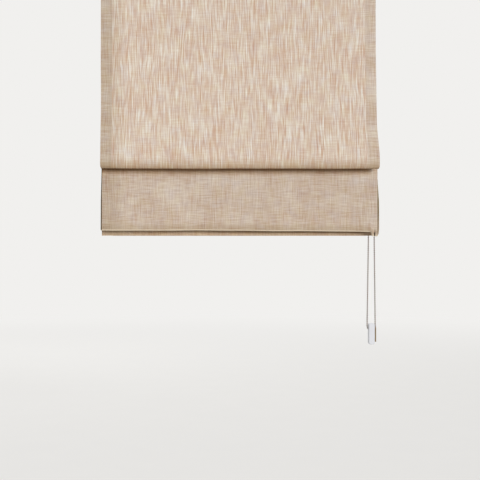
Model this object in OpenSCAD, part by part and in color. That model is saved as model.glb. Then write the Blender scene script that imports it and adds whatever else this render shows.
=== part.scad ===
// Roman blind, raised about half way, with a beaded pull chain on the right.
// Origin: middle of the bracket screws, on the mounting face above the headrail.
// X runs to the right, Y towards the window and Z up. Lengths are in millimetres.

/* [Blind] */
// Width of the cloth
blind_w = 780; // [600:10:1200]
// From the mounting face down to the lip of the upper fold
front_drop = 569; // [480:1:700]
// From the upper lip down to the lip of the lower fold
flap_drop = 175; // [140:1:240]
// From the lower lip down to the bottom of the hem
hem_drop = 14; // [6:1:40]
// From the mounting face down to the top rib
top_panel = 203; // [150:1:240]
// From the upper lip up to the middle rib
fold_tuck = 35; // [30:1:50]
// From the middle rib down to the low rib
rib_gap = 19; // [19:1:28]
// How far the upper lip stands in front of the top of the cloth
fold_reach = 40; // [34:1:60]
// How far the lower lip stands in front of the top of the cloth
flap_reach = 24; // [21:1:30]

/* [Cloth] */
// Thickness of the cloth
cloth_t = 0.9; // [0.6:0.1:1.2]
// Width of the turned side hems
side_hem = 31; // [20:1:45]
// Height of the pocket for the hem bar
hem_h = 30; // [27:1:45]
// Radius of the lips, in the middle of the cloth
lip_r = 5.2; // [4:0.1:6]
// Radius of the tight turns at the ribs
turn_r = 2.4; // [1.8:0.1:2.6]

/* [Ribs and cords] */
// Diameter of the rib rods
rib_d = 3.5; // [2.5:0.1:4]
// Diameter of the lift cords
cord_d = 1.4; // [1:0.1:1.8]
// From the edge of the cloth to the outer lift cords
cord_inset = 80; // [70:1:140]
// Inside diameter of the cord rings
ring_bore = 4.4; // [3.6:0.1:5]
// Thickness of the hem bar
bar_t = 3; // [2:0.1:4]
// Height of the hem bar
bar_h = 20; // [14:1:22]

/* [Headrail] */
// Depth of the headrail, front to back
rail_d = 40; // [38:1:52]
// Height of the headrail
rail_h = 36; // [36:1:48]
// Wall of the headrail
rail_wall = 1.5; // [1.2:0.1:2]
// Width of the turned-in lips along the open top of the headrail
rail_lip = 6; // [5:0.5:7]
// Thickness of each half of the hook and loop tape
tape_t = 1.5; // [1:0.1:2]
// Height of the hook and loop tape
tape_h = 22; // [16:1:28]

/* [Brackets] */
// Sheet thickness of the brackets
bracket_t = 1.6; // [1.2:0.1:2]
// Width of a bracket
bracket_w = 32; // [24:1:50]
// From the edge of the cloth to the middle of a bracket
bracket_inset = 135; // [125:1:180]
// Diameter of the screw holes in the brackets
screw_d = 4.5; // [3.5:0.1:5.5]
// Spacing of the two screw holes of a bracket
screw_gap = 16; // [12:1:20]

/* [Drive] */
// Side of the square drive shaft
shaft_a = 6; // [5:0.1:7]
// Winding radius of the spools, in the middle of the cord
spool_r = 8; // [7:0.1:9]
// Radius of the spool flanges
flange_r = 12; // [10.5:0.1:13]
// Turns of cord on each spool
spool_turns = 9; // [6:1:10]
// Ball pockets round the chain wheel
wheel_pockets = 12; // [11:1:13]
// From the edge of the cloth to the middle of the chain wheel
wheel_inset = 11; // [11:0.5:20]
// Width of the chain wheel
wheel_w = 9; // [8:0.5:10]

/* [Chain] */
// Diameter of the beads
bead_d = 4.5; // [4:0.1:5]
// Spacing of the beads
bead_pitch = 6; // [5.6:0.1:6.6]
// Diameter of the links between the beads
link_d = 1.5; // [1.2:0.1:2]
// Beads from the chain wheel down to the chain holder
chain_beads = 166; // [140:1:180]

/* [Chain holder] */
// From the edge of the cloth to the middle of the chain holder
holder_inset = 12.7; // [8:0.1:30]
// Width of the chain holder
holder_w = 18; // [16:0.5:20]
// Height of the chain holder
holder_h = 60; // [54:1:70]
// Depth of its cover
holder_d = 9; // [8:0.5:12]
// Diameter of the holes in its bracket
holder_screw_d = 4; // [3:0.1:5]
// Spacing of the holes in its bracket
holder_screw_gap = 22; // [18:1:24]
// From the edge of the cloth to the jamb that the bracket is screwed to
wall_gap = 2.5; // [1.5:0.5:6]

/* [Fits] */
// Gap between parts that slide or turn
run_fit = 0.1; // [0.05:0.01:0.2]
// Gap between parts that are put together loosely
loose_fit = 0.3; // [0.2:0.05:0.4]

/* [Hidden] */
$fn = 64;
rail_top = -bracket_t - loose_fit;
rail_floor = rail_top - rail_h + rail_wall;
rail_left = -blind_w / 2 + 7;
axis_z = rail_top - rail_h / 2;
wheel_x = blind_w / 2 - wheel_inset;
rail_right = wheel_x - wheel_w / 2 - 15.5;
hub_end = wheel_x - wheel_w / 2 - 0.5;
cover_x = wheel_x + wheel_w / 2 + 2.5;
cover_t = 2.5;
core_r = 5.5;
spring_r = core_r + 0.65;
journal_r = shaft_a * 0.71 + 0.9;
drum_r = spool_r - cord_d / 2 - loose_fit;
bush_r = shaft_a * 0.71 + 1.6;
cord_x = [-blind_w / 2 + cord_inset, 0, blind_w / 2 - cord_inset];
cord_y = -spool_r;
bracket_x = blind_w / 2 - bracket_inset;

// The folded cloth, as points down its middle in Y and Z with a radius at each
cloth_y = -rail_d / 2 - 2 * tape_t - cloth_t / 2;
lip_a = -front_drop + cloth_t / 2;
lip_b = lip_a - flap_drop;
hem_z = lip_b - hem_drop;
rib_flat = 8;
nose = 4;
step_y = 9;
step_z = 12;
rib_z = [-top_panel, lip_a + fold_tuck, lip_a + fold_tuck - rib_gap];
rib_y = cloth_y + cloth_t / 2 + rib_d / 2 + 1.1;
sleeve_r = rib_d / 2 + 1;
pocket = bar_t + 2 * loose_fit + cloth_t;
face_points = [
  [cloth_y, rail_top],
  [cloth_y, -top_panel - 12],
  [cloth_y - fold_reach, lip_a],
  [cloth_y - fold_reach + 2.2 * lip_r, lip_a],
  [cloth_y - nose, rib_z[1] + rib_flat / 2],
  [cloth_y, rib_z[1] + rib_flat / 2],
  [cloth_y, rib_z[1] - rib_flat / 2],
  [cloth_y - step_y, rib_z[1] - rib_flat / 2 - step_z],
  [cloth_y - flap_reach, lip_b],
  [cloth_y - flap_reach + 2.2 * lip_r, lip_b],
  [cloth_y - nose - 1, rib_z[2] + rib_flat / 2],
  [cloth_y, rib_z[2] + rib_flat / 2],
  [cloth_y, hem_z]
];
face_radii = [
  150, lip_r, lip_r, turn_r, turn_r, turn_r, 9, lip_r, lip_r, turn_r, turn_r
];
hem_points = [
  [cloth_y + pocket, hem_z],
  [cloth_y + pocket, hem_z + hem_h - 6],
  [cloth_y + cloth_t + 0.2, hem_z + hem_h]
];
hem_radii = [0.49 * pocket, 0.49 * pocket, 2];

// The chain: round the wheel about X, round the holder about Y
chain_r = bead_pitch / 2 / sin(180 / wheel_pockets);
bead_gap = bead_d / 2 + run_fit;
holder_x = blind_w / 2 - holder_inset;
holder_turns = 6;
holder_r = bead_pitch / 2 / sin(90 / holder_turns);
strand = chain_beads * bead_pitch;
side_step = [holder_x - holder_r - wheel_x, holder_x + holder_r - wheel_x];
holder_z = axis_z - sqrt(strand * strand - side_step[0] * side_step[0] - chain_r * chain_r);
holder_top = holder_z + 8;
holder_y = bead_d / 2 + 0.8;
wall_x = blind_w / 2 + wall_gap;

function unit(v) = v / norm(v);
function ahead(p, i) = unit(p[min(i + 1, len(p) - 1)] - p[min(i, len(p) - 2)]);
function behind(p, i) = unit(p[max(i, 1)] - p[max(i - 1, 0)]);

// An arc of radius r in the corner p-q-s
function corner(p, q, s, r) =
  let (
    u = unit(p - q),
    v = unit(s - q),
    half = acos(u * v) / 2,
    c = q + unit(u + v) * r / sin(half),
    from = q + u * r / tan(half) - c,
    to = q + v * r / tan(half) - c,
    start = atan2(from.y, from.x),
    turn = (atan2(to.y, to.x) - start + 540) % 360 - 180,
    n = max(3, ceil(abs(turn) / 15))
  )
  [for (i = [0:n]) c + r * [cos(start + turn * i / n), sin(start + turn * i / n)]];

function rounded(p, r) = [
  p[0],
  for (i = [1:len(p) - 2]) each corner(p[i - 1], p[i], p[i + 1], r[i - 1]),
  p[len(p) - 1]
];

// The line p moved sideways by d, to the window side where it runs down
function beside(p, d) = [
  for (i = [0:len(p) - 1])
    let (a = ahead(p, i), b = behind(p, i), m = unit(a + b))
    p[i] + d * [-m.y, m.x] / sqrt((1 + a * b) / 2)
];

function ribbon(p, from, to) =
  let (a = beside(p, from), b = beside(p, to))
  concat(a, [for (i = [len(b) - 1:-1:0]) b[i]]);

function helix(r, length, turns, n) = [
  for (i = [0:n]) [length * i / n, r * cos(360 * turns * i / n), r * sin(360 * turns * i / n)]
];

module along_x(from, to) {
  translate([from, 0, 0])
    rotate([90, 0, 90])
      linear_extrude(to - from)
        children();
}

module about_axis(x) {
  translate([x, 0, axis_z])
    rotate([0, 90, 0])
      children();
}

// A bar along X round the drive axis
module round_bar(from, to, r) {
  about_axis(from)
    cylinder(h = to - from, r = r);
}

module square_bar(from, to, a) {
  translate([from, -a / 2, axis_z - a / 2])
    cube([to - from, a, a]);
}

// A tube of 8 sides along the points of a helix about X
module wire(p, r) {
  k = 8;
  n = len(p);
  ring = [
    for (i = [0:n - 1])
      let (t = unit(p[min(i + 1, n - 1)] - p[max(i - 1, 0)]),
           u = unit([0, p[i].y, p[i].z]),
           v = cross(t, u))
      for (j = [0:k - 1]) p[i] + r * (cos(360 * j / k) * u + sin(360 * j / k) * unit(v))
  ];
  sides = [
    for (i = [0:n - 2])
      for (j = [0:k - 1])
        let (a = i * k + j, b = i * k + (j + 1) % k)
        each [[a, a + k, b], [b, a + k, b + k]]
  ];
  polyhedron(ring, concat([[for (j = [0:k - 1]) j]], sides, [[for (j = [k - 1:-1:0]) (n - 1) * k + j]]));
}

module rail_outline(grow) {
  translate([-rail_d / 2 - grow, rail_top - rail_h - grow])
    square([rail_d + 2 * grow, rail_h + 2 * grow]);
}

module headrail() {
  color("#B9BCC0")
    difference() {
      along_x(rail_left, rail_right)
        difference() {
          rail_outline(0);
          rail_outline(-rail_wall);
          translate([-rail_d / 2 + rail_lip, rail_top - rail_wall - 1])
            square([rail_d - 2 * rail_lip, rail_wall + 2]);
        }
      for (x = cord_x)
        translate([x, cord_y, rail_floor - rail_wall - 1])
          cylinder(h = rail_wall + 2, r = 3.5);
    }
}

// Folded sheet: hooks under the front lip of the rail, clips round its back
module bracket(x) {
  back = rail_d / 2 + loose_fit;
  foot = rail_top - rail_h - loose_fit - bracket_t;
  hook = -rail_d / 2 + rail_lip + 2;
  under = rail_top - rail_wall - loose_fit;
  color("#C4C7CA")
    difference() {
      along_x(x - bracket_w / 2, x + bracket_w / 2) {
        translate([hook, -bracket_t])
          square([back + bracket_t - hook, bracket_t]);
        translate([hook, under - bracket_t])
          square([bracket_t, bracket_t - under]);
        translate([hook - 5, under - bracket_t])
          square([5 + bracket_t, bracket_t]);
        translate([back, foot])
          square([bracket_t, -foot]);
        translate([back - 6, foot])
          square([6 + bracket_t, bracket_t]);
      }
      for (y = [-screw_gap / 2, screw_gap / 2])
        translate([x, y, -bracket_t - 1])
          cylinder(h = bracket_t + 2, r = screw_d / 2);
    }
}

module bracket_left() {
  bracket(-bracket_x);
}

module bracket_right() {
  bracket(bracket_x);
}

module end_cap() {
  color("#DEDFE0")
    difference() {
      union() {
        along_x(rail_left - 3, rail_left)
          rail_outline(0);
        along_x(rail_left, rail_left + 8)
          difference() {
            rail_outline(-rail_wall - loose_fit);
            rail_outline(-rail_wall - loose_fit - 2);
          }
        round_bar(rail_left, rail_left + 12, bush_r + 2.5);
      }
      round_bar(rail_left - 1, rail_left + 13, bush_r + run_fit);
    }
}

module shaft_bush() {
  color("#4A4C50")
    difference() {
      union() {
        round_bar(rail_left - 1 + loose_fit, rail_left + 12 + loose_fit, bush_r);
        round_bar(rail_left + 12 + loose_fit, rail_left + 14, bush_r + 2);
      }
      square_bar(rail_left, rail_left + 15, shaft_a + 2 * run_fit);
    }
}

module tape(from, y, z) {
  translate([from, y, z])
    cube([-2 * from, tape_t, tape_h]);
}

module hook_tape() {
  color("#EDEDEA")
    tape(rail_left + 4, -rail_d / 2 - tape_t, rail_top - 4 - tape_h);
}

module loop_tape() {
  color("#E4E0D8")
    tape(-blind_w / 2 + side_hem + 2, -rail_d / 2 - 2 * tape_t, rail_top - 4 - tape_h);
}

// Carries one spool on two snap-in bearings and leads the cord through the rail
module cradle(x) {
  wide = rail_d - 2 * rail_wall - 2 * loose_fit;
  color("#D9DADB")
    difference() {
      union() {
        translate([x - 25, -wide / 2, rail_floor])
          cube([38, wide, 2]);
        for (s = [x - 24, x + 8])
          translate([s, -10, rail_floor])
            cube([3, 20, axis_z - rail_floor + 3.5]);
        translate([x, cord_y, rail_floor - rail_wall - 1.5])
          cylinder(h = rail_wall + 2, r = 3.5 - loose_fit);
      }
      round_bar(x - 26, x + 14, journal_r + run_fit);
      translate([x - 26, -journal_r + 0.6, axis_z])
        cube([40, 2 * journal_r - 1.2, 20]);
      translate([x, cord_y, rail_floor - rail_wall - 2])
        cylinder(h = rail_wall + 6, r = cord_d / 2 + 0.6);
    }
}

module cradle_left() {
  cradle(cord_x[0]);
}

module cradle_middle() {
  cradle(cord_x[1]);
}

module cradle_right() {
  cradle(cord_x[2]);
}

module spool(x) {
  color("#E6E6E4")
    difference() {
      union() {
        round_bar(x - 25, x + 12, journal_r);
        round_bar(x - 20, x - 18, flange_r);
        round_bar(x - 20, x + 7, drum_r);
        round_bar(x + 5, x + 7, flange_r);
      }
      square_bar(x - 26, x + 13, shaft_a + 2 * run_fit);
    }
}

module spool_left() {
  spool(cord_x[0]);
}

module spool_middle() {
  spool(cord_x[1]);
}

module spool_right() {
  spool(cord_x[2]);
}

module drive_shaft() {
  color("#8E9196")
    square_bar(rail_left + run_fit, hub_end - 3, shaft_a);
}

module drive_housing() {
  pit = chain_r + bead_d / 2 + 0.8;
  color("#DADBDC")
    difference() {
      union() {
        along_x(rail_right - 12, rail_right)
          rail_outline(-rail_wall - loose_fit);
        along_x(rail_right, cover_x)
          rail_outline(0);
      }
      round_bar(rail_right - 13, rail_right + 1, 11.5);
      round_bar(rail_right, cover_x, 8.5 + run_fit);
      round_bar(hub_end - 2, cover_x, 11);
      round_bar(hub_end, cover_x + 1, pit);
      translate([hub_end, -pit, rail_top - rail_h - 1])
        cube([cover_x + 1 - hub_end, 2 * pit, rail_h / 2 + 1]);
      for (y = [-1, 1])
        translate([cover_x - 8, y * (rail_d / 2 - 2.7), axis_z + rail_h / 2 - 3.5])
          rotate([0, 90, 0])
            cylinder(h = 9, r = 1.25 + run_fit);
    }
}

module drive_cover() {
  color("#E2E3E4")
    difference() {
      along_x(cover_x, cover_x + cover_t)
        rail_outline(0);
      square_bar(cover_x - 1, cover_x + cover_t + 1, 7 + 2 * run_fit);
      for (y = [-1, 1])
        translate([cover_x - 1, y * (rail_d / 2 - 2.7), axis_z + rail_h / 2 - 3.5])
          rotate([0, 90, 0])
            cylinder(h = cover_t + 2, r = 1.25 + run_fit);
    }
}

module cover_screws() {
  color("#9A9DA1")
    for (y = [-1, 1])
      translate([cover_x - 7, y * (rail_d / 2 - 2.7), axis_z + rail_h / 2 - 3.5])
        rotate([0, 90, 0]) {
          cylinder(h = 7 + cover_t, r = 1.25);
          translate([0, 0, 7 + cover_t])
            difference() {
              cylinder(h = 1.2, r = 2.4);
              translate([-2.5, -0.35, 0.5])
                cube([5, 0.7, 1]);
            }
        }
}

// Fixed pin that the wrap spring grips, keyed into the cover by a square
module clutch_core() {
  color("#6E7278") {
    round_bar(hub_end + 1, cover_x, core_r);
    square_bar(cover_x, cover_x + cover_t, 7);
  }
}

module clutch_spring() {
  color("#5E6166")
    translate([hub_end + 1.6, 0, axis_z])
      wire(helix(spring_r, wheel_w - 5, 4, 64), 0.42);
}

module output_hub() {
  color("#C9CBCD")
    difference() {
      union() {
        round_bar(hub_end - 13, hub_end - 1.5, 8.5);
        round_bar(hub_end - 1.5, hub_end - loose_fit, 10.5);
        round_bar(hub_end - 1.5, hub_end + 3, 8);
      }
      round_bar(hub_end - loose_fit, hub_end + 4, spring_r + 0.8);
      translate([hub_end - loose_fit, -9, axis_z - 9])
        cube([5, 18, 9]);
      square_bar(hub_end - 14, hub_end - 3 + run_fit, shaft_a + 2 * run_fit);
    }
}

// Wheel with a ball pocket for every bead and a groove for the links between
module chain_wheel() {
  left = wheel_x - wheel_w / 2;
  color("#D2D4D6")
    difference() {
      round_bar(left, wheel_x + wheel_w / 2, chain_r - 0.3);
      round_bar(left - 1, wheel_x + wheel_w / 2 - 2, 8 + loose_fit);
      round_bar(left - 1, wheel_x + wheel_w / 2 + 1, core_r + run_fit);
      about_axis(wheel_x)
        rotate_extrude()
          translate([chain_r - link_d / 2 - 0.7, -link_d / 2 - 0.2])
            square([4, link_d + 0.4]);
      for (i = [1:wheel_pockets])
        about_axis(wheel_x)
          rotate([0, 0, 360 * i / wheel_pockets])
            translate([chain_r, 0, 0])
              sphere(r = bead_gap);
    }
}

// Straight run of beads from p to q, without the beads at its two ends
module run(p, q) {
  d = q - p;
  gap = norm(d) / chain_beads;
  translate(p)
    rotate([0, acos(d.z / norm(d)), atan2(d.y, d.x)])
      rotate_extrude()
        intersection() {
          union() {
            square([link_d / 2, norm(d)]);
            for (i = [1:chain_beads - 1])
              translate([0, i * gap])
                circle(r = bead_d / 2, $fn = 48);
          }
          square([bead_d, norm(d)]);
        }
}

// Half a turn of beads on a circle of radius r, n links long
module bend(r, n, step) {
  for (i = [0:n])
    rotate(i * step)
      translate([r, 0, 0])
        sphere(r = bead_d / 2);
  for (i = [0:n - 1])
    rotate((i + 0.5) * step)
      translate([r * cos(step / 2), -bead_pitch / 2, 0])
        rotate([-90, 0, 0])
          cylinder(h = bead_pitch, r = link_d / 2);
}

module bead_chain() {
  front = [wheel_x, -chain_r, axis_z];
  back = [wheel_x, chain_r, axis_z];
  color("#8C7E78") {
    translate([wheel_x, 0, axis_z])
      rotate([90, 0, 90])
        bend(chain_r, floor(wheel_pockets / 2), 360 / wheel_pockets);
    translate([holder_x, 0, holder_z])
      rotate([-90, 0, 0])
        bend(holder_r, holder_turns, 180 / holder_turns);
    run(front, [holder_x - holder_r, 0, holder_z]);
    run(back, [holder_x + holder_r, 0, holder_z]);
  }
}

// Split sleeve that joins the two ends of the chain
module chain_connector() {
  d = [holder_x + holder_r - wheel_x, -chain_r, holder_z - axis_z];
  color("#A39A94")
    translate([wheel_x, chain_r, axis_z] + d * 40.5 / chain_beads)
      rotate([0, acos(d.z / norm(d)), atan2(d.y, d.x)])
        difference() {
          cylinder(h = 2 * bead_pitch, r = bead_gap + 0.6, center = true);
          cylinder(h = 2 * bead_pitch + 2, r = bead_gap, center = true);
          translate([0, -0.5, -bead_pitch - 1])
            cube([5, 1, 2 * bead_pitch + 2]);
        }
}

module holder_outline(grow) {
  r = 5.5;
  for (x = [-1, 1])
    for (z = [holder_top - r, holder_top - holder_h + r])
      translate([holder_x + x * (holder_w / 2 - r), z])
        circle(r = r + grow);
  translate([holder_x - holder_w / 2 - grow, holder_top - holder_h + r])
    square([holder_w + 2 * grow, holder_h - 2 * r]);
  translate([holder_x - holder_w / 2 + r, holder_top - holder_h - grow])
    square([holder_w - 2 * r, holder_h + 2 * grow]);
}

module facing(y, depth) {
  translate([0, y + depth, 0])
    rotate([90, 0, 0])
      linear_extrude(depth)
        children();
}

// Back plate with the half-round shoe that the chain slides round
module holder_guide() {
  shoe = holder_r - bead_gap;
  color("#E4E5E8") {
    facing(holder_y, 2.5)
      holder_outline(-0.4);
    facing(-holder_y, 2 * holder_y)
      intersection() {
        translate([holder_x, holder_z])
          circle(r = shoe);
        translate([holder_x - holder_w / 2 + 1, holder_z - shoe - 1])
          square([holder_w - 2, shoe + 3]);
      }
    facing(-holder_y, 2 * holder_y)
      translate([holder_x - 3, holder_top - holder_h + 6])
        square([6, 14]);
  }
}

// Front shell with rounded edges, pressed on to the shoe and the lower post
module holder_cover() {
  color("#F0F0F2")
    difference() {
      union() {
        facing(-holder_y - holder_d + 2, holder_d - 2)
          holder_outline(0);
        facing(-holder_y - holder_d + 0.8, 1.2)
          holder_outline(-0.6);
        facing(-holder_y - holder_d, 0.8)
          holder_outline(-1.8);
      }
      facing(-holder_y - 4, 5)
        holder_outline(-2);
    }
}

// Angled steel strip: one leg behind the holder, the other on the window jamb
module holder_bracket() {
  y = holder_y + 2.5;
  low = holder_top - holder_h + 6;
  tall = holder_h - 18;
  color("#8A7454")
    difference() {
      union() {
        facing(y, 1.6)
          translate([holder_x - 7, low])
            square([wall_x - holder_x + 7, tall]);
        intersection() {
          translate([wall_x - 1.6, y, low])
            cube([1.6, 24, tall]);
          along_x(wall_x - 1.6, wall_x)
            translate([y, low + tall / 2])
              circle(r = 24);
        }
      }
      for (s = [-1, 1])
        translate([wall_x - 3, y + 12, low + tall / 2 + s * holder_screw_gap / 2])
          rotate([0, 90, 0])
            cylinder(h = 5, r = holder_screw_d / 2);
    }
}

// One sheet in two folds, its side hems doubled and its bottom hem a pocket
module cloth() {
  face = rounded(face_points, face_radii);
  whole = rounded(concat(face_points, hem_points), concat(face_radii, hem_radii));
  color("#D6C6B2") {
    along_x(-blind_w / 2 + side_hem, blind_w / 2 - side_hem)
      polygon(ribbon(whole, -cloth_t / 2, cloth_t / 2));
    for (x = [-blind_w / 2, blind_w / 2 - side_hem])
      along_x(x, x + side_hem)
        polygon(ribbon(face, -cloth_t / 2, 1.5 * cloth_t));
  }
}

// Fibreglass rod in the sleeve of a rib
module rib(z) {
  half = blind_w / 2 - side_hem - 5;
  color("#E8E6DC")
    along_x(-half, half)
      translate([rib_y, z])
        circle(r = rib_d / 2);
}

module rib_top() {
  rib(rib_z[0]);
}

module rib_middle() {
  rib(rib_z[1]);
}

module rib_low() {
  rib(rib_z[2]);
}

// Tape sewn to the back of the cloth as a tube for the rod
module sleeve(z) {
  half = blind_w / 2 - side_hem - 2;
  color("#DDD3C4")
    along_x(-half, half)
      difference() {
        union() {
          translate([rib_y, z])
            circle(r = sleeve_r);
          translate([cloth_y + cloth_t / 2, z - 2])
            square([rib_y - cloth_y - cloth_t / 2, 4]);
        }
        translate([rib_y, z])
          circle(r = rib_d / 2 + run_fit);
      }
}

module sleeve_top() {
  sleeve(rib_z[0]);
}

module sleeve_middle() {
  sleeve(rib_z[1]);
}

module sleeve_low() {
  sleeve(rib_z[2]);
}

// Clip round the back of the sleeve with an eye for the lift cord
module rings(z) {
  ring_r = ring_bore / 2 + 1.2;
  clip_r = sleeve_r + run_fit;
  color("#ECECE8")
    for (x = cord_x) {
      along_x(x - 3, x + 3)
        difference() {
          translate([rib_y, z])
            circle(r = clip_r + 1.2);
          translate([rib_y, z])
            circle(r = clip_r);
          translate([rib_y - 10, z - 10])
            square([10, 20]);
        }
      translate([x - 1.5, rib_y + clip_r + 0.5, z - 0.8])
        cube([3, cord_y - ring_r - rib_y - clip_r - 0.5, 1.6]);
      translate([x, cord_y, z])
        rotate_extrude()
          translate([ring_r, 0])
            circle(r = 1.2);
    }
}

module rings_top() {
  rings(rib_z[0]);
}

module rings_middle() {
  rings(rib_z[1]);
}

module rings_low() {
  rings(rib_z[2]);
}

// Lift cord: the wound turns on its spool and the straight drop to the low rib
module cord(x) {
  pitch = cord_d - 0.06;
  color("#F0EFEA") {
    translate([x, cord_y, rib_z[2] - 9])
      cylinder(h = axis_z - rib_z[2] + 9, r = cord_d / 2);
    about_axis(x)
      rotate_extrude()
        for (i = [1:spool_turns])
          translate([spool_r, -0.1 - i * pitch])
            circle(r = cord_d / 2);
  }
}

module cord_left() {
  cord(cord_x[0]);
}

module cord_middle() {
  cord(cord_x[1]);
}

module cord_right() {
  cord(cord_x[2]);
}

// Toggles on the ends of the lift cords, under the rings of the low rib
module cord_stops() {
  color("#E6E2D8")
    for (x = cord_x)
      translate([x, cord_y, rib_z[2] - 1.2 - loose_fit])
        rotate_extrude()
          translate([cord_d / 2 + run_fit, -9])
            square([2.4, 9]);
}

module hem_bar() {
  half = blind_w / 2 - side_hem - 6;
  color("#B4B7BB")
    translate([-half, cloth_y + cloth_t / 2 + loose_fit, hem_z + 2])
      cube([2 * half, bar_t, bar_h]);
}

module bar_caps() {
  half = blind_w / 2 - side_hem - 6;
  color("#8F9194")
    for (x = [-half - 2, half])
      translate([x, cloth_y + cloth_t / 2 + loose_fit, hem_z + 2])
        cube([2, bar_t, bar_h]);
}

headrail();
bracket_left();
bracket_right();
end_cap();
shaft_bush();
hook_tape();
loop_tape();
cradle_left();
cradle_middle();
cradle_right();
spool_left();
spool_middle();
spool_right();
drive_shaft();
drive_housing();
drive_cover();
cover_screws();
clutch_core();
clutch_spring();
output_hub();
chain_wheel();
bead_chain();
chain_connector();
holder_guide();
holder_cover();
holder_bracket();
cloth();
rib_top();
rib_middle();
rib_low();
sleeve_top();
sleeve_middle();
sleeve_low();
rings_top();
rings_middle();
rings_low();
cord_left();
cord_middle();
cord_right();
cord_stops();
hem_bar();
bar_caps();
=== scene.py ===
import math

import bmesh
import bpy
import numpy as np
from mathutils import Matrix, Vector


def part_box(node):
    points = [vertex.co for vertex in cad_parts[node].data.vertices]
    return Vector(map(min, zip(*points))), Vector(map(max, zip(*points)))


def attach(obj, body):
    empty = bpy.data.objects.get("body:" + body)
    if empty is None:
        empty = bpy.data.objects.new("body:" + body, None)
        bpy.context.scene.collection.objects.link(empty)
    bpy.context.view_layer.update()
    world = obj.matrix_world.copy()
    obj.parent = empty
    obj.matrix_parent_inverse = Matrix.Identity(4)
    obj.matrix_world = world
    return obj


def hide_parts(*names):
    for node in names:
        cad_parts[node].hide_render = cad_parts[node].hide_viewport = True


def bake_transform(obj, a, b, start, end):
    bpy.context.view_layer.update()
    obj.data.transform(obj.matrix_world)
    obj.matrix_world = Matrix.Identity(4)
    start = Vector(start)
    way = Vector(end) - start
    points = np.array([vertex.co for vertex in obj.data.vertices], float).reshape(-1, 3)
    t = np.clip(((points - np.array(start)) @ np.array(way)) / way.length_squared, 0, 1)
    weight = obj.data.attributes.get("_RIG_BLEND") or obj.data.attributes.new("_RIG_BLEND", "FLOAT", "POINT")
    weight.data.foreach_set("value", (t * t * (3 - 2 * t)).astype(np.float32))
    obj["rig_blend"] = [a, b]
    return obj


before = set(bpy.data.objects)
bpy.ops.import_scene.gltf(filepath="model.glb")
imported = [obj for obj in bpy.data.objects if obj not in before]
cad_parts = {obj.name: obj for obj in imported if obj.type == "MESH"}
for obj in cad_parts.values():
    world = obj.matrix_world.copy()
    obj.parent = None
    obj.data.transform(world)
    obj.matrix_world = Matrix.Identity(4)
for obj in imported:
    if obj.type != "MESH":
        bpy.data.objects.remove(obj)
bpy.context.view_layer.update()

scene = bpy.context.scene
scene.view_settings.view_transform = "Standard"


# Camera: level, straight in front of the blind and a little below its middle.
# One pixel of the 480 pixel frame is 2.83 mm at the cloth.
camera_data = bpy.data.cameras.new("camera")
camera_data.lens = 74
camera_data.sensor_width = 36
camera = bpy.data.objects.new("camera", camera_data)
camera.location = (0.0020, -2.8239, -0.770)
camera.rotation_euler = (math.radians(90), 0, 0)
scene.collection.objects.link(camera)
scene.camera = camera


# Lift cords: three braided polyester cords, nine turns of each on its spool.
# Each drops through a slot in the rail and the rings behind the cloth
# to a toggle under the lowest rib.
class Field:
    """A socket of a node tree. Sums and products of fields add their Math nodes."""

    def __init__(self, tree, socket=None):
        self.tree, self.socket = tree, socket

    def node(self, kind, settings=None, values=None, output=0):
        """Adds a node: its settings first, then the values or links of its sockets."""
        made = self.tree.nodes.new(kind)
        for name, value in (settings or {}).items():
            if name == "stops":
                ramp = made.color_ramp.elements
                while len(ramp) < len(value):
                    ramp.new(0.5)
                for stop, (position, colour) in zip(ramp, value):
                    stop.position, stop.color = position, colour
            else:
                setattr(made, name, value)
        for name, value in (values or {}).items():
            for link in value if isinstance(value, list) else [value]:
                if isinstance(link, Field):
                    self.tree.links.new(link.socket, made.inputs[name])
                else:
                    made.inputs[name].default_value = link
        return Field(self.tree, made.outputs[output] if made.outputs else None)

    def maths(self, operation, *values):
        return self.node("ShaderNodeMath", {"operation": operation}, dict(enumerate(values)))

    def __add__(self, other):
        return self.maths("ADD", self, other)

    def __sub__(self, other):
        return self.maths("SUBTRACT", self, other)

    def __rsub__(self, other):
        return self.maths("SUBTRACT", other, self)

    def __mul__(self, other):
        return self.maths("MULTIPLY", self, other)

    __radd__, __rmul__ = __add__, __mul__

    def sine(self):
        return self.maths("SINE", self)

    def size(self):
        return self.maths("ABSOLUTE", self)

    def axis(self, which):
        """One coordinate, 0 to 2 for X to Z, in millimetres."""
        return self.node("ShaderNodeSeparateXYZ", None, {0: self}, which) * 1000

    def rises(self, low, high):
        """0 below low, 1 above high."""
        values = {"Value": self, "From Min": low, "From Max": high}
        return self.node("ShaderNodeMapRange", {"interpolation_type": "SMOOTHSTEP"}, values)

    def tints(self, low, high):
        """The colour low where this is 0, high where it is 1."""
        return self.node("ShaderNodeMix", {"data_type": "RGBA"}, {0: self, 6: low, 7: high}, 2)

    def stretched(self, across, up, deep=1.0):
        """Coordinates multiplied on each axis."""
        values = {"Vector": self, "Scale": (across, up, deep)}
        return self.node("ShaderNodeMapping", None, values)

    def noise(self, scale, detail):
        """Soft noise from 0 to 1. Detail adds finer noise to it."""
        values = {"Vector": self, "Scale": scale, "Detail": detail}
        return self.node("ShaderNodeTexNoise", None, values)


def tint(code):
    """A colour as a painter's code, in the linear values that a shader takes."""
    parts = [int(code[i:i + 2], 16) / 255 for i in (0, 2, 4)]
    linear = [p / 12.92 if p <= 0.04045 else ((p + 0.055) / 1.055) ** 2.4 for p in parts]
    return tuple(linear) + (1.0,)


def finish(name, coordinates="Object"):
    """A new material, and the coordinates that its pattern follows."""
    made = bpy.data.materials.new(name)
    made.use_nodes = True
    made.node_tree.nodes.clear()
    field = Field(made.node_tree)
    return made, field.node("ShaderNodeTexCoord", output=coordinates)


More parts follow.
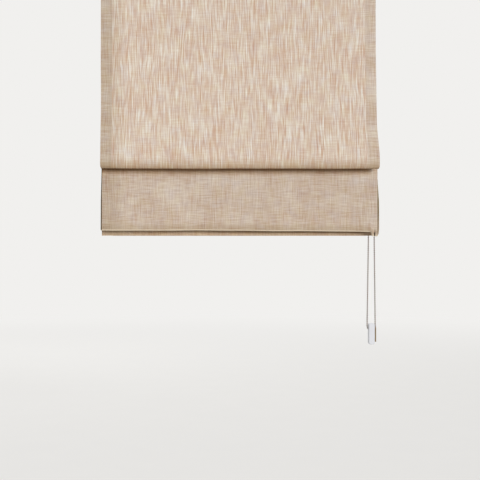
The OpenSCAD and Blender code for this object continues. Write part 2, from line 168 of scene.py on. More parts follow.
def surface(place, values, height, depth, strength=0.5):
    """Closes a material: the shader's sockets, and a relief of that depth in metres."""
    bump = {"Height": height, "Distance": depth, "Strength": strength}
    values["Normal"] = place.node("ShaderNodeBump", None, bump)
    shader = place.node("ShaderNodeBsdfPrincipled", None, values)
    place.node("ShaderNodeOutputMaterial", {"is_active_output": True}, {"Surface": shader})


def piece(name, points, faces=(), edges=()):
    """A mesh object from points in millimetres."""
    mesh = bpy.data.meshes.new(name)
    mesh.from_pydata([Vector(p) * 0.001 for p in points], list(edges), list(faces))
    made = bpy.data.objects.new(name, mesh)
    scene.collection.objects.link(made)
    return made


def line_piece(name, points, closed=False):
    """Edges through points in millimetres, for a tree to follow."""
    edges = [(i, i + 1) for i in range(len(points) - 1)]
    return piece(name, points, edges=edges + [(len(points) - 1, 0)] * closed)


def node_group(name, sizes):
    """An empty tree with a named input for each size, and its input fields."""
    group = bpy.data.node_groups.new(name, "GeometryNodeTree")
    face = group.interface
    face.new_socket("Geometry", in_out="INPUT", socket_type="NodeSocketGeometry")
    for size in sizes:
        face.new_socket(size, in_out="INPUT", socket_type="NodeSocketFloat")
    face.new_socket("Geometry", in_out="OUTPUT", socket_type="NodeSocketGeometry")
    given = group.nodes.new("NodeGroupInput")
    return group, {socket.name: Field(group, socket) for socket in given.outputs if socket.name}


def tube_along(line, radius, sides, capped):
    """A round tube along the edges of a line."""
    path = line.node("GeometryNodeMeshToCurve", None, {"Mesh": line})
    ring = path.node("GeometryNodeCurvePrimitiveCircle", None,
                     {"Resolution": sides, "Radius": radius})
    return path.node("GeometryNodeCurveToMesh", None,
                     {"Curve": path, "Profile Curve": ring, "Fill Caps": capped})


def close_group(geometry, material):
    """Ends a tree: smooth faces, made real, of this material."""
    smooth = geometry.node("GeometryNodeSetShadeSmooth", None, {0: geometry})
    whole = smooth.node("GeometryNodeRealizeInstances", None, {0: smooth})
    whole = whole.node("GeometryNodeSetMaterial", None,
                       {"Geometry": whole, "Material": material})
    whole.node("NodeGroupOutput", None, {"Geometry": whole})


def grown(line, group, **sizes):
    """Runs a tree on a line with these sizes in metres, and keeps the result as its plain mesh."""
    modifier = line.modifiers.new(group.name, "NODES")
    modifier.node_group = group
    for item in group.interface.items_tree:
        if item.in_out == "INPUT" and item.name in sizes:
            modifier[item.identifier] = sizes[item.name]
    graph = bpy.context.evaluated_depsgraph_get()
    mesh = bpy.data.meshes.new_from_object(line.evaluated_get(graph))
    line.modifiers.remove(modifier)
    line.data = mesh
    return line


cord_d = 1.4
cord_x = {"left": -310, "middle": 0, "right": 310}
cord_y, cord_end = -8, -561.55
axis_z = -19.9
spool_r, spool_turns, turn_pitch, last_turn_gap = 8, 9, 1.34, 0.1
points_per_turn, points_down = 20, 60

braid, place = finish("braided cord")
across, height = place.axis(0), place.axis(2)
strands = (height * 2.6 + across * 3.0).sine() * (height * 2.6 - across * 3.0).sine()
shade = strands.rises(-0.9, 0.9)
worn = place.noise(160, 3)
surface(place, {
    "Base Color": (shade * 0.75 + worn * 0.25).tints(tint("CFC9BC"), tint("F1EEE6")),
    "Roughness": 0.85 - shade * 0.1,
}, strands, 0.0003)

cord_tree, given = node_group("cord along a line", ["Radius"])
close_group(tube_along(given["Geometry"], given["Radius"], 10, True), braid)

for side, x in cord_x.items():
    route = []
    for i in range(spool_turns * points_per_turn + 1):
        turn = i / points_per_turn
        angle = 2 * math.pi * turn + math.pi
        route.append((x - last_turn_gap - turn_pitch * (spool_turns - turn),
                      spool_r * math.cos(angle), axis_z - spool_r * math.sin(angle)))
    for i in range(1, points_down + 1):
        share = i / points_down
        route.append((x - last_turn_gap * (1 - share), cord_y, axis_z + (cord_end - axis_z) * share))
    lift_cord = grown(line_piece("lift_cord_" + side, route), cord_tree, Radius=cord_d / 2000)
    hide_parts("cord_" + side)
    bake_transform(lift_cord, "headrail", "stack", start=(0, 0, -0.035), end=(0, 0, -0.53))


# Bead chain: hollow nickelled beads on a wire, a closed loop of 344, gone dull with age.
# It runs over the chain wheel at the top and round the shoe of the holder at the bottom.
chain_r, bead_d, wire_d = 11.591, 4.5, 0.7
wheel_x, shoe_x, shoe_z = 379, 377.3, -1015.744
run_beads, bend_beads = 166, 6

nickel, place = finish("aged nickel")
tarnish = place.noise(700, 3).rises(0.35, 0.7)
blotch = place.noise(60, 2).rises(0.4, 0.65)
surface(place, {
    "Base Color": (tarnish * 0.6 + blotch * 0.4).tints(tint("887469"), tint("4A3C36")),
    "Metallic": 0.9,
    "Roughness": tarnish * 0.25 + 0.28,
}, tarnish, 0.00006)

chain_tree, given = node_group("beads on a wire", ["Bead radius", "Wire radius"])
wire = tube_along(given["Geometry"], given["Wire radius"], 8, False)
bead = wire.node("GeometryNodeMeshUVSphere", None,
                 {"Segments": 14, "Rings": 9, "Radius": given["Bead radius"]})
beads = wire.node("GeometryNodeInstanceOnPoints", None,
                  {"Points": given["Geometry"], "Instance": bead})
close_group(wire.node("GeometryNodeJoinGeometry", None, {"Geometry": [wire, beads]}), nickel)


def straight_run(start, end):
    """The beads between two bends of the chain."""
    start, end = np.array(start), np.array(end)
    return [tuple(start + (end - start) * i / run_beads) for i in range(1, run_beads)]


bend = [math.pi * i / bend_beads for i in range(bend_beads + 1)]
on_wheel = [(wheel_x, -chain_r * math.cos(a), axis_z + chain_r * math.sin(a)) for a in bend]
on_shoe = [(shoe_x + chain_r * math.cos(a), 0, shoe_z - chain_r * math.sin(a)) for a in bend]
bead_places = on_wheel + straight_run(on_wheel[-1], on_shoe[0])
bead_places += on_shoe + straight_run(on_shoe[-1], on_wheel[0])
pull_chain = line_piece("pull_chain", bead_places, closed=True)
grown(pull_chain, chain_tree, **{"Bead radius": bead_d / 2000, "Wire radius": wire_d / 2000})
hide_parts("bead_chain")
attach(pull_chain, "headrail")


# Studio: a pale round floor that runs out into a pale surrounding. Broad parallel light falls
# from the front right, with a soft fill on the left and a lamp behind.
# The blind hangs free above the floor from its two brackets.
pale = tint("F1F0EE")
floor_z, floor_r, floor_sides = -1350, 6000, 96
fade_from, fade_to = 1.6, 5.0
rim = [2 * math.pi * i / floor_sides for i in range(floor_sides)]
rim = [(floor_r * math.cos(a), floor_r * math.sin(a), floor_z) for a in rim]
floor = piece("floor", rim, [tuple(range(floor_sides))])
paper, place = finish("floor paper")
grain = place.noise(9, 3).tints(tint("E2E0DC"), tint("EAE8E4"))
reach = place.node("ShaderNodeVectorMath", {"operation": "LENGTH"}, {0: place}, "Value")
reach = reach.rises(fade_from, fade_to)


def seen_by_eye(field):
    """1 for what the camera sees, also in metal or through clear plastic,
    0 for what lights the blind."""
    rays = [field.node("ShaderNodeLightPath", output=ray)
            for ray in ("Is Camera Ray", "Is Glossy Ray", "Is Transmission Ray")]
    return rays[0] + rays[1] + rays[2]


matt = place.node("ShaderNodeBsdfDiffuse", None, {"Color": grain})
glow = place.node("ShaderNodeEmission", None, {"Color": pale, "Strength": 1.0})
share = seen_by_eye(place) * (0.7 + reach * 0.3)
sheet = place.node("ShaderNodeMixShader", None, {0: share, 1: matt, 2: glow})
place.node("ShaderNodeOutputMaterial", {"is_active_output": True}, {"Surface": sheet})
floor.data.materials.append(paper)

world = bpy.data.worlds.new("studio")
world.use_nodes = True
world.node_tree.nodes.clear()
air = Field(world.node_tree)
light = air.node("ShaderNodeBackground", None, {"Color": (1, 1, 1, 1), "Strength": 0.27})
glow = air.node("ShaderNodeBackground", None, {"Color": pale, "Strength": 1.0})
around = air.node("ShaderNodeMixShader", None, {0: seen_by_eye(air), 1: light, 2: glow})
air.node("ShaderNodeOutputWorld", None, {"Surface": around})
scene.world = world

lamp_aim = Vector((0, 0, -0.5))


def lamp(name, kind, place, power, **sizes):
    """A lamp that points at the middle of the blind."""
    data = bpy.data.lights.new(name, kind)
    data.energy = power
    for size, value in sizes.items():
        setattr(data, size, value)
    made = bpy.data.objects.new(name, data)
    made.location = place
    made.rotation_euler = (lamp_aim - Vector(place)).to_track_quat("-Z", "Y").to_euler()
    scene.collection.objects.link(made)


lamp("key", "SUN", place=(3.0, -3.0, 0.65), power=3.05, angle=math.radians(27))
lamp("fill", "AREA", place=(-2.2, -2.4, 0.5), power=11, size=1.8)
lamp("rear", "AREA", place=(-1.4, 2.6, 1.0), power=45, size=1.8)


# Headrail: an aluminium channel, satin anodised, drawn through a die that leaves fine lines.
# The hem bar in the bottom of the cloth is a flat of the same stock.
def dress(material, *nodes):
    """Gives this material to parts whose shape stays as it is in the frame."""
    for node in nodes:
        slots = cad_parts[node].data.materials
        slots.clear()
        slots.append(material)


anodised, place = finish("satin anodised aluminium")
drawn = place.stretched(4, 900, 900).noise(1, 3)
cloud = place.noise(35, 2)
surface(place, {
    "Base Color": (drawn * 0.6 + cloud * 0.4).tints(tint("9C9FA3"), tint("C3C6C9")),
    "Metallic": 1.0,
    "Roughness": drawn * 0.22 + 0.28,
}, drawn, 0.00005)
dress(anodised, "headrail", "hem_bar")


# Brackets, shaft and cover screws: zinc plated steel, pressed from sheet or drawn to a square.
# The brackets are screwed up overhead and the rail clips into them.
# The core and the wrap spring of the clutch, inside the housing, are oiled spring steel.
zinc, place = finish("zinc plate")
crystals = place.node("ShaderNodeTexVoronoi", None, {"Vector": place, "Scale": 420.0}, 1)
crystals = place.node("ShaderNodeSeparateColor", None, {0: crystals})
rolled = place.stretched(60, 700, 700).noise(1, 2)
surface(place, {
    "Base Color": (crystals * 0.5 + rolled * 0.5).tints(tint("A9ACAF"), tint("D9DBDC")),
    "Metallic": 1.0,
    "Roughness": crystals * 0.15 + rolled * 0.15 + 0.2,
}, rolled, 0.00005)
dress(zinc, "bracket_left", "bracket_right", "drive_shaft", "cover_screws")

oiled, place = finish("oiled spring steel")
film = place.noise(240, 3)
surface(place, {
    "Base Color": film.tints(tint("4B4D50"), tint("86898D")),
    "Metallic": 1.0,
    "Roughness": film * 0.25 + 0.2,
}, film, 0.00004)
dress(oiled, "clutch_core", "clutch_spring")


# Moulded parts of the drive: end cap, cradles, spools, housing, hub and wheel in white acetal
# with a fine spark texture, the shaft's bush and the caps of the hem bar in dark nylon.
# They snap into the rail or onto the shaft and the bar.
def moulded(name, dark, light, rough):
    """A moulded plastic with a fine spark texture and faint flow marks."""
    made, place = finish(name)
    spark = place.noise(2600, 2)
    flow = place.noise(45, 2)
    surface(place, {
        "Base Color": (flow * 0.7 + spark * 0.3).tints(tint(dark), tint(light)),
        "Roughness": spark * 0.2 + rough,
    }, spark, 0.00004)
    return made


acetal = moulded("white acetal", "DADAD6", "EFEFEC", 0.4)
dress(acetal, "end_cap", "cradle_left", "cradle_middle", "cradle_right",
      "spool_left", "spool_middle", "spool_right",
      "drive_housing", "drive_cover", "output_hub", "chain_wheel")
nylon = moulded("dark nylon", "3E4043", "55585B", 0.5)
dress(nylon, "shaft_bush", "bar_caps")


# Hook and loop tapes: two woven nylon tapes, the hook half glued along the front of the rail,
# the loop half sewn along the top of the cloth and pressed onto it.
woven, place = finish("woven tape")
picks = (place.axis(0) * 5.2).sine() * (place.axis(2) * 5.2).sine()
fuzz = place.noise(1400, 3)
shade = picks.rises(-0.8, 0.8) * 0.5 + fuzz * 0.5
surface(place, {
    "Base Color": shade.tints(tint("CBC3B4"), tint("EBE6DB")),
    "Roughness": fuzz * 0.1 + 0.85,
}, picks * 0.5 + fuzz, 0.0003)


def smoothed(made, crisp):
    """Turns the faces outwards and rounds them off, up to that many degrees between two."""
    solid = bmesh.new()
    solid.from_mesh(made.data)
    bmesh.ops.recalc_face_normals(solid, faces=solid.faces)
    solid.to_mesh(made.data)
    solid.free()
    made.data.set_sharp_from_angle(angle=math.radians(crisp))
    made.data.polygons.foreach_set("use_smooth", [True] * len(made.data.polygons))


def along_x(name, outline, stations, ripple):
    """A solid drawn along X from an outline in Y and Z, rippled a little at each station."""
    points, faces, count = [], [], len(outline)
    for x in stations:
        for y, z in outline:
            dy, dz = ripple(x, z)
            points.append((x, y + dy, z + dz))
    for start in range(0, len(points) - count, count):
        for j in range(count):
            a, b = start + j, start + (j + 1) % count
            faces.append((a, b, b + count, a + count))
    faces += [tuple(range(count)), tuple(range(len(points) - count, len(points)))]
    made = piece(name, points, faces)
    smoothed(made, crisp=40)
    return made


tape_sides = {"hook_tape": (-21.5, -20.0), "loop_tape": (-23.0, -21.5)}
tape_round, tape_border, tape_stations = 0.5, 2, 160
for tape, (front, back) in tape_sides.items():
    low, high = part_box(tape)
    top, bottom = high.z * 1000, low.z * 1000
    steps = [bottom + tape_round, bottom + tape_border, top - tape_border, top - tape_round]
    outline = [(front, z) for z in steps]
    outline += [(front + tape_round, top), (back - tape_round, top)]
    outline += [(back, z) for z in steps[::-1]]
    outline += [(back - tape_round, bottom), (front + tape_round, bottom)]
    stations = np.linspace(low.x * 1000, high.x * 1000, tape_stations)
    strip = along_x(tape + "_strip", outline, stations,
                    lambda x, z: (0, 0.12 * math.sin(x * 0.9 + z) + 0.1 * math.sin(x * 0.31)))
    strip.data.materials.append(woven)
    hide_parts(tape)
    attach(strip, "headrail")


# Cloth: one sheet of slub linen, hung by its top edge, drawn up into two flat folds
# that stand out to the front. The sides are turned back 31 mm and stitched,
# the bottom is turned up into a pocket for the hem bar.
cloth_t, half_w, hem_w = 0.9, 390, 31
cloth_y, top_z, lip_a, lip_b, hem_z = -23.45, -1.9, -568.55, -743.55, -757.55
rib_z = (-203, -533.55, -552.55)
lip_r, turn_r, pocket_r = 5.2, 2.4, 2.205
fold_a_y, fold_b_y, lip_w = cloth_y - 40, cloth_y - 24, 2.2 * lip_r
sewn, pocket_d, pocket_h = 4, 4.5, 24

# corners of the folded cloth from the top down: Y, Z and the radius of the bend there
fold_route = [
    (cloth_y, top_z, 0), (cloth_y, rib_z[0] - 12, 150),
    (fold_a_y, lip_a, lip_r), (fold_a_y + lip_w, lip_a, lip_r),
    (cloth_y - 4, rib_z[1] + sewn, turn_r), (cloth_y, rib_z[1] + sewn, turn_r),
    (cloth_y, rib_z[1] - sewn, turn_r), (cloth_y - 9, rib_z[1] - 16, 9),
    (fold_b_y, lip_b, lip_r), (fold_b_y + lip_w, lip_b, lip_r),
    (cloth_y - 5, rib_z[2] + sewn, turn_r), (cloth_y, rib_z[2] + sewn, turn_r),
    (cloth_y, hem_z, 0),
]
hem_route = fold_route[:-1] + [
    (cloth_y, hem_z, pocket_r), (cloth_y + pocket_d, hem_z, pocket_r),
    (cloth_y + pocket_d, hem_z + pocket_h, 2), (cloth_y + 1.1, hem_z + pocket_h + 6, 0),
]


def rounded(route, longest=9.0):
    """Points down the middle of the cloth, its run and normal at each, the run at each corner."""
    points, corners = [np.array(route[0][:2])], []
    for before, corner, after in zip(route, route[1:], route[2:]):
        p, q, s = (np.array(place[:2]) for place in (before, corner, after))
        r = corner[2]
        u, v = (p - q) / np.linalg.norm(p - q), (s - q) / np.linalg.norm(s - q)
        half = math.acos(u @ v) / 2
        centre = q + (u + v) / np.linalg.norm(u + v) * r / math.sin(half)
        start, end = q + u * r / math.tan(half) - centre, q + v * r / math.tan(half) - centre
        angle = math.atan2(start[1], start[0])
        turn = (math.atan2(end[1], end[0]) - angle + 3 * math.pi) % (2 * math.pi) - math.pi
        steps = max(3, math.ceil(abs(turn) / math.radians(10)))
        corners.append((len(points), len(points) + steps))
        angles = [angle + turn * i / steps for i in range(steps + 1)]
        points += [centre + r * np.array((math.cos(a), math.sin(a))) for a in angles]
    points.append(np.array(route[-1][:2]))
    fine, at = [points[0]], [0]
    for a, b in zip(points, points[1:]):
        steps = max(1, math.ceil(np.linalg.norm(b - a) / longest))
        fine += [a + (b - a) * i / steps for i in range(1, steps + 1)]
        at.append(len(fine) - 1)
    fine = np.array(fine)
    run = np.concatenate([[0], np.cumsum(np.linalg.norm(np.diff(fine, axis=0), axis=1))])
    slope = np.gradient(fine, run, axis=0)
    slope /= np.linalg.norm(slope, axis=1)[:, None]
    normal = np.stack([-slope[:, 1], slope[:, 0]], 1)
    return fine, run, normal, [(run[at[i]], run[at[j]]) for i, j in corners]


face_line = rounded(fold_route)
whole_line = rounded(hem_route)
corner_run = face_line[3]
run_top_rib = top_z - rib_z[0]
run_lip_a, run_back_a = corner_run[1][0], corner_run[2][1]
run_middle_rib, run_flap = corner_run[3][0], corner_run[6][0]
run_lip_b, run_low_rib = corner_run[7][0], corner_run[9][0]
run_hem = face_line[1][-1]
corner_x, corner_w, corner_drop = 370.5, 4.5, 11.5
tuck_x, tuck_run, tuck_d = 381.5, run_lip_b + 2.5, 4.5


def eased(share):
    """0 to 1 with soft ends."""
    share = np.clip(share, 0, 1)
    return share * share * (3 - 2 * share)


def sway(x, run):
    """How far the cloth hangs off its flat folds in X, Y and Z, in millimetres."""
    # soft waves in the upper and the lower fold, none where a rib holds the cloth
    upper = np.clip((run_middle_rib - run) / 40, 0, 1)
    free_a = np.clip((run - run_top_rib) / (run_lip_a - run_top_rib), 0, 1) * upper
    free_b = np.clip((run - run_flap) / 120, 0, 1) * np.clip((run_low_rib - run) / 120, 0, 1)
    wave_a = np.sin(x / 71 + 0.6) * 0.6 + np.sin(x / 29 + 2.1) * 0.35 + np.sin(x / 143 + 4.0) * 0.5
    wave_b = np.sin(x / 58 + 3.3) * 0.6 + np.sin(x / 24 + 0.4) * 0.3 + np.sin(x / 160 + 1.2) * 0.6
    # the side edges lean in or out, in front of each fold and behind its lip
    turned_a = eased((run - run_lip_a + 4) / 14) * upper
    turned_b = eased((run - run_lip_b) / 16)
    fall_b = np.clip((run - run_flap) / (run_lip_b - run_flap), 0, 1)
    front_b = eased((run - run_flap) / 20) * (1 - turned_b)
    back_b = np.clip((run_low_rib - run - 28) / 80, 0, 1)
    left = -2.9 * upper * (1 - eased((run - 220) / 190)) + 3.5 * turned_a
    left = left + (2 + fall_b) * front_b - 1.5 * turned_b * back_b
    right = -3.0 * upper + 6.5 * eased((free_a - 0.65) / 0.28) - 3.5 * turned_a
    right = right + (1 - 2.5 * fall_b) * front_b + 5 * eased((run - run_lip_b - 8) / 14) * back_b
    off = x / half_w
    lean = max(-off, 0) ** 6 * left + max(off, 0) ** 6 * right
    # the lips sag, and the lower right corner hangs in a step with a small tuck
    sag = -2.0 * free_a ** 4 - (0.6 + 2.3 * off + 0.9 * off ** 2) * free_b ** 2
    near_lip = np.clip(1 - np.abs(run - run_lip_b - 7) / 40, 0, 1)
    droop = -corner_drop * eased((x - corner_x) / corner_w) * near_lip
    tuck = tuck_d * np.exp(-((x - tuck_x) / 1.5) ** 2 - ((run - tuck_run) / 5.5) ** 2)
    back = 1.4 * wave_a * free_a + 1.2 * wave_b * free_b + tuck
    return lean, back, 0.7 * (wave_a * free_a ** 2 + wave_b * free_b ** 2) + sag + droop


def hung(x, line, off):
    """One column of points down the cloth, that far off its middle."""
    route, run, normal, _ = line
    dx, dy, dz = sway(x, run)
    y, z = (route + off * normal).T
    return list(zip(x + dx, y + dy, z + dz))


points, faces, places = [], [], []


def add_layer(columns, line, reverse):
    """One closed strip of the sheet, its right side and its reverse on either side of the line."""
    run = line[1]
    base, rows, sheet = len(points), len(run), len(columns) * len(run)
    for off in (-cloth_t / 2, reverse):
        for x in columns:
            points.extend(hung(x, line, off))
            places.extend(zip([x / 1000] * rows, run / 1000))
    for i in range(len(columns) - 1):
        for j in range(rows - 1):
            a = base + i * rows + j
            b = a + rows
            faces.append((a, a + 1, b + 1, b))
            faces.append((a + sheet, b + sheet, b + 1 + sheet, a + 1 + sheet))
        for j in (0, rows - 1):
            a = base + i * rows + j
            faces.append((a, a + rows, a + rows + sheet, a + sheet))
    for i in (0, len(columns) - 1):
        for j in range(rows - 1):
            a = base + i * rows + j
            faces.append((a, a + 1, a + 1 + sheet, a + sheet))


edge, hem_back, panel_columns = half_w - hem_w, cloth_t * 1.5, 104
add_layer(np.linspace(-edge, edge, panel_columns), whole_line, cloth_t / 2)
hem_columns = (0, 6, 11.5, 12.7, 14, 15.3, 17, 19.5, 21, 22, 23, 24, 25.5, 28, 31)
hem_columns = edge + np.array(hem_columns)
add_layer(-hem_columns[::-1], face_line, hem_back)
add_layer(hem_columns, face_line, hem_back)
cloth = piece("linen_cloth", points, faces)
smoothed(cloth, crisp=55)
places = np.array(places)
loop_points = np.zeros(len(cloth.data.loops), int)
cloth.data.loops.foreach_get("vertex_index", loop_points)
cut = cloth.data.uv_layers.new(name="cut")
cut.data.foreach_set("uv", places[loop_points].ravel())

linen, place = finish("slub linen", "UV")
across, down = place.axis(0), place.axis(1)


def patches(wide, tall, detail, scale=1.0):
    """Soft spots of about that many millimetres."""
    return place.stretched(1000 / wide, 1000 / tall).noise(scale, detail)


def band(start, full, fade, end):
    """1 between two runs along the cloth, with soft ends."""
    return down.rises(start, full) * (1 - down.rises(fade, end))


# thick and thin warp threads that wander a little, and the weft that crosses them
lane = place.stretched(1000 / 9, 0).noise(1, 1)
wander = patches(60, 140, 1)
warp = place.node("ShaderNodeCombineXYZ", None, {0: across + wander * 14, 1: down + lane * 260})
slub = warp.stretched(1 / 2.9, 1 / 62).noise(1, 0)
thread = warp.stretched(1 / 1.8, 1 / 30).noise(1, 0)
weft = patches(40, 2.7, 1)
cloud = patches(50, 70, 2)
drift = patches(120, 75, 2)
gold = patches(26, 30, 4)
blush = patches(5, 75, 1, 1.07)

# places on the cloth, and the bands where shade and a highlight are painted into its colour
hemmed = across.size().rises(edge - 0.6, edge + 0.6)
right = across.rises(0, 1)
shaded = 1 - across.rises(edge - 2, edge + 16)
flap = down.rises(run_lip_a + 12, run_lip_a + 20)
painted_lip_shade = band(run_lip_a - 30, run_lip_a + 3, run_lip_a + 12, run_lip_a + 20)
painted_lip_edge_shade = band(run_lip_a - 9, run_lip_a + 2, run_lip_a + 12, run_lip_a + 20)
# painted shade inside the upper fold and on the flap just under its lip, kept short of the side edges by
# shaded
painted_fold_shade = band(run_lip_a + 3, run_lip_a + 8, run_flap + 21, run_flap + 30) * shaded
painted_warm_shade = band(run_flap + 10, run_flap + 20, run_flap + 26, run_flap + 46) * shaded
painted_lower_lip_shade = band(run_lip_b - 20, run_lip_b, run_lip_b + 9, run_lip_b + 10)
painted_lip_highlight = band(run_lip_b + 1.6, run_lip_b + 3.4, run_lip_b + 7, run_lip_b + 9)
painted_back_layer_shade = band(run_lip_b + 11, run_lip_b + 16, run_low_rib - 4, run_low_rib)
strip = down.rises(run_hem - 34, run_hem - 16)
painted_shadow_under_lower_lip = band(run_hem - 30, run_hem - 20, run_hem - 11, run_hem - 5)
# where a dark slit of painted shadow lies at the tuck of the lower right corner
painted_slit_shadow = 1 - (across - tuck_x).size().rises(0.4, 2.4)
painted_slit_shadow = painted_slit_shadow * (1 - (down - tuck_run).size().rises(3, 6.5))

# single cloth shows long streaks, doubled cloth is calmer and shows both ways of the weave
doubled = hemmed.maths("MAXIMUM", hemmed, flap)
streaks = slub * 0.43 + thread * 0.26 + cloud * 0.14 + weft * 0.17
hatched = slub * 0.21 + thread * 0.13 + drift * 0.31 + weft * 0.35
tone = streaks + (hatched - streaks) * doubled
lively = [(0.345, tint("BF9E88")), (0.463, tint("CAB3A0")),
          (0.537, tint("D3C5B5")), (0.655, tint("E0DACF"))]
lively = tone.node("ShaderNodeValToRGB", {"stops": lively}, {"Fac": tone})
calm = [(0.34, tint("B99C86")), (0.66, tint("E0D5C8"))]
calm = tone.node("ShaderNodeValToRGB", {"stops": calm}, {"Fac": tone})
shade = doubled.tints(lively, calm)


def dyed(colour, mask, code):
    """The colour, multiplied by another where the mask is 1."""
    return mask.node("ShaderNodeMix", {"data_type": "RGBA", "blend_type": "MULTIPLY"},
                     {0: mask, 6: colour, 7: tint(code)}, 2)


for mask, code in (
    (blush.rises(0.5, 0.8) * 0.5, "F6E4DA"),
    ((gold - 0.5) * 5, "FFFFF8"),
    ((0.5 - gold) * 5, "F9F9FF"),
    # painted shade: the side hems darker, as if less light came through the doubled cloth; the left hem more
    # than the right, as light falls from the right
    (hemmed * ((1 - right) * (1 - 0.8 * flap) + right * 0.7 * (1 - flap)), "F0F0ED"),
    # painted shade: the cloth darker along its left side, fading out 45 mm inside the hem, as light falls
    # from the right
    (1 - across.rises(5 - edge, 45 - edge), "F2F0EC"),
    # painted shade: the doubled lower fold darker, as if less light came through it
    (flap * (1 - strip), "EFEEEB"),
    # painted shade inside the upper fold, under its lip
    (painted_fold_shade, "BCA484"),
    # painted shade: a warm tone in the shadow under the upper lip
    (painted_warm_shade, "FFECD4"),
    (strip, "F9EDD8"),
    # painted shade: the upper lip darker where it curves under
    (painted_lip_shade, "E2D9CA"),
    # painted shade: darker still at the very edge of the upper lip
    (painted_lip_edge_shade, "F2EFEA"),
    # painted shade: the lower fold darker just above its lip, where it turns under
    (painted_lower_lip_shade, "EBE6DC"),
    # painted shade: the back layer of the lower fold, where it shows at the sides, lighter towards the lip
    # on the right
    (painted_back_layer_shade * (1 - 0.7 * right * (1 - down.rises(run_lip_b + 20, run_lip_b + 75))), "C0BC9E"),
    # painted shade: darker still next to the edge of the front layer
    (painted_back_layer_shade * (1 - across.size().rises(384, 390)), "A8987C"),
    # painted shadow of the lower lip on the hem below it, darker to the right
    (painted_shadow_under_lower_lip * (0.1 + 0.9 * across.rises(-half_w, half_w)), "B8A78E"),
):
    shade = dyed(shade, mask, code)
# painted highlight: a pale line along the lower lip
shade = painted_lip_highlight.tints(shade, tint("E6D4BA"))
# painted shadow: a dark slit in the gap at the tuck of the lower right corner
shade = dyed(shade, painted_slit_shadow, "3E2C12")

# plain weave in the relief, one thread over and one under
thread_pitch = 0.8
over = (across * (math.pi / thread_pitch)).sine() * (down * (math.pi / thread_pitch)).sine()
relief = over * 0.35 + slub * 1.2 + weft * 0.5
surface(place, {"Base Color": shade, "Roughness": 0.95 - thread * 0.12}, relief, 0.0005, 0.6)
cloth.data.materials.append(linen)


def follows(run):
    """Share of the lift that the cloth takes: none above the top rib, half at the upper lip."""
    front = np.clip((run - run_top_rib) / (run_lip_a - run_top_rib), 0, 1)
    back = np.clip((run - run_back_a) / (run_middle_rib - run_back_a), 0, 1)
    return 0.5 * (1 - (1 - front) ** 1.5) + 0.5 * (1 - (1 - back) ** 1.3)


def lift_with(obj, runs):
    """Blends a piece between rail and stack by its run along the cloth, because the folds overlap."""
    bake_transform(obj, "headrail", "stack", start=(0, 0, rib_z[0] / 1000), end=(0, 0, rib_z[1] / 1000))
    shares = obj.data.attributes["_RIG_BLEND"].data
    shares.foreach_set("value", follows(runs).astype(np.float32))


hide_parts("cloth")
lift_with(cloth, places[:, 1] * 1000)


# Stitches: polyester thread, 4 mm to the stitch, along the inner edges of the side hems.
# They only catch the back of the cloth, so that none shows on the right side.
thread_finish, place = finish("sewing thread")
twist = place.noise(2400, 2)
surface(place, {
    "Base Color": twist.tints(tint("C9B79F"), tint("E6DACA")),
    "Roughness": twist * 0.2 + 0.6,
}, twist, 0.0001)

stitch_tree, given = node_group("stitches along a line", ["Pitch", "Length", "Radius"])
seam = given["Geometry"].node("GeometryNodeMeshToCurve", None, {"Mesh": given["Geometry"]})
seam = seam.node("GeometryNodeResampleCurve", {"mode": "LENGTH"},
                 {"Curve": seam, "Length": given["Pitch"]})
along = seam.node("GeometryNodeInputTangent")
turned = seam.node("FunctionNodeAlignRotationToVector", {"axis": "Z"}, {"Vector": along})
size = seam.node("ShaderNodeCombineXYZ", None,
                 {"X": given["Radius"], "Y": given["Radius"], "Z": given["Length"]})
stitch = seam.node("GeometryNodeMeshUVSphere", None, {"Segments": 6, "Rings": 5, "Radius": 1.0})
stitches = seam.node("GeometryNodeInstanceOnPoints", None,
                     {"Points": seam, "Instance": stitch, "Rotation": turned, "Scale": size})
close_group(stitches, thread_finish)

seam_x = edge + 2
run = face_line[1].astype(np.float32)
for side, x in (("left", -seam_x), ("right", seam_x)):
    seam_line = line_piece("hem_stitches_" + side, hung(x, face_line, hem_back))
    runs = seam_line.data.attributes.new("run", "FLOAT", "POINT")
    runs.data.foreach_set("value", run)
    grown(seam_line, stitch_tree, Pitch=0.004, Length=0.0013, Radius=0.00028)
    runs = np.zeros(len(seam_line.data.vertices), np.float32)
    seam_line.data.attributes["run"].data.foreach_get("value", runs)
    lift_with(seam_line, runs.astype(float))


# Rib rods and their sleeves: fibreglass rods in tubes of woven tape, sewn across the reverse.
# The rods keep the folds straight; the sleeves end short of the side hems.
glass, place = finish("fibreglass rod")
fibres = place.stretched(25, 1500, 1500).noise(1, 3)
surface(place, {
    "Base Color": fibres.tints(tint("D9D6C8"), tint("F1EFE6")),
    "Roughness": fibres * 0.2 + 0.25,
    "Coat Weight": 0.3,
}, fibres, 0.00005)
dress(glass, "rib_top", "rib_middle", "rib_low")

sleeve_r, sleeve_t, rib_y = 2.75, 0.5, -20.15
sleeve_half, sleeve_stations = half_w - hem_w - 2, 150
seam_outer, seam_inner, wrap_points = 2.0, 1.4, 27
rib_body = {"top": "headrail", "middle": "stack", "low": "stack"}
back = cloth_y + cloth_t / 2
meet = math.asin(seam_outer / sleeve_r)
wrap = np.linspace(math.pi - meet, -math.pi + meet, wrap_points)


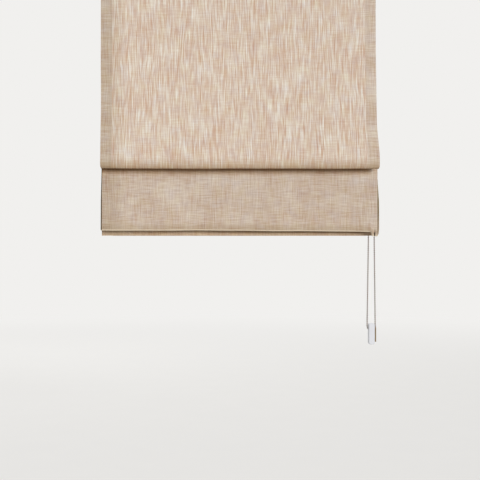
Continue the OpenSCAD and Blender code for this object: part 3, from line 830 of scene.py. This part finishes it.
def round_rib(radius, z, angles):
    """Points round the middle of a rod, in Y and Z."""
    return [(rib_y + radius * math.cos(a), z + radius * math.sin(a)) for a in angles]


for rib, z in zip(rib_body, rib_z):
    outline = [(back, z + seam_outer)] + round_rib(sleeve_r, z, wrap)
    outline += [(back, z - seam_outer), (back, z - seam_inner)]
    outline += round_rib(sleeve_r - sleeve_t, z, wrap[::-1]) + [(back, z + seam_inner)]
    stations = np.linspace(-sleeve_half, sleeve_half, sleeve_stations)
    sleeve = along_x("rib_sleeve_" + rib, outline, stations,
                     lambda x, z: (0.04 * math.sin(x * 0.7), 0.04 * math.sin(x * 0.43 + 1)))
    sleeve.data.materials.append(woven)
    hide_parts("sleeve_" + rib)
    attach(sleeve, rib_body[rib])


# Cord rings and toggles: milky moulded clips pressed round the sleeves,
# and the toggles that the cords are knotted into under the lowest rib.
clip = moulded("milky clip plastic", "D2D6D6", "ECEFEE", 0.3)
dress(clip, "rings_top", "rings_middle", "rings_low", "cord_stops")


# Chain connector: two half shells of nickelled brass, pressed from sheet.
# They close round the two end beads of the chain and make it a loop.
dress(nickel, "chain_connector")


# Chain holder: a glossy white cover over the guide that turns the chain back,
# on an angle of steel. The angle's dark brown colour is painted shade, for the shade of the cover that it
# stands in.
# The angle is screwed on at the side and keeps the chain taut.
gloss, place = finish("glossy white cover")
peel = place.noise(900, 2)
haze = place.noise(70, 3)
surface(place, {
    "Base Color": haze.tints(tint("D3D4D8"), tint("DADBDF")),
    "Roughness": haze * 0.12 + peel * 0.06 + 0.2,
    "Coat Weight": 0.3,
}, peel, 0.00003)
dress(gloss, "holder_cover", "holder_guide")

# painted shade: a dark brown colour for the angle, which stands in the cover's shade; flecks and scuffs on
# it
shade_brown_steel, place = finish("steel in painted shade")
flecks = place.noise(1800, 3)
scuffs = place.stretched(300, 300, 40).noise(1, 3).rises(0.6, 0.75)
surface(place, {
    "Base Color": (flecks * 0.8 + scuffs * 0.2).tints(tint("6B5A42"), tint("9A8562")),
    "Metallic": 0.45,
    "Roughness": flecks * 0.2 + scuffs * 0.15 + 0.3,
}, flecks, 0.00005)
dress(shade_brown_steel, "holder_bracket")
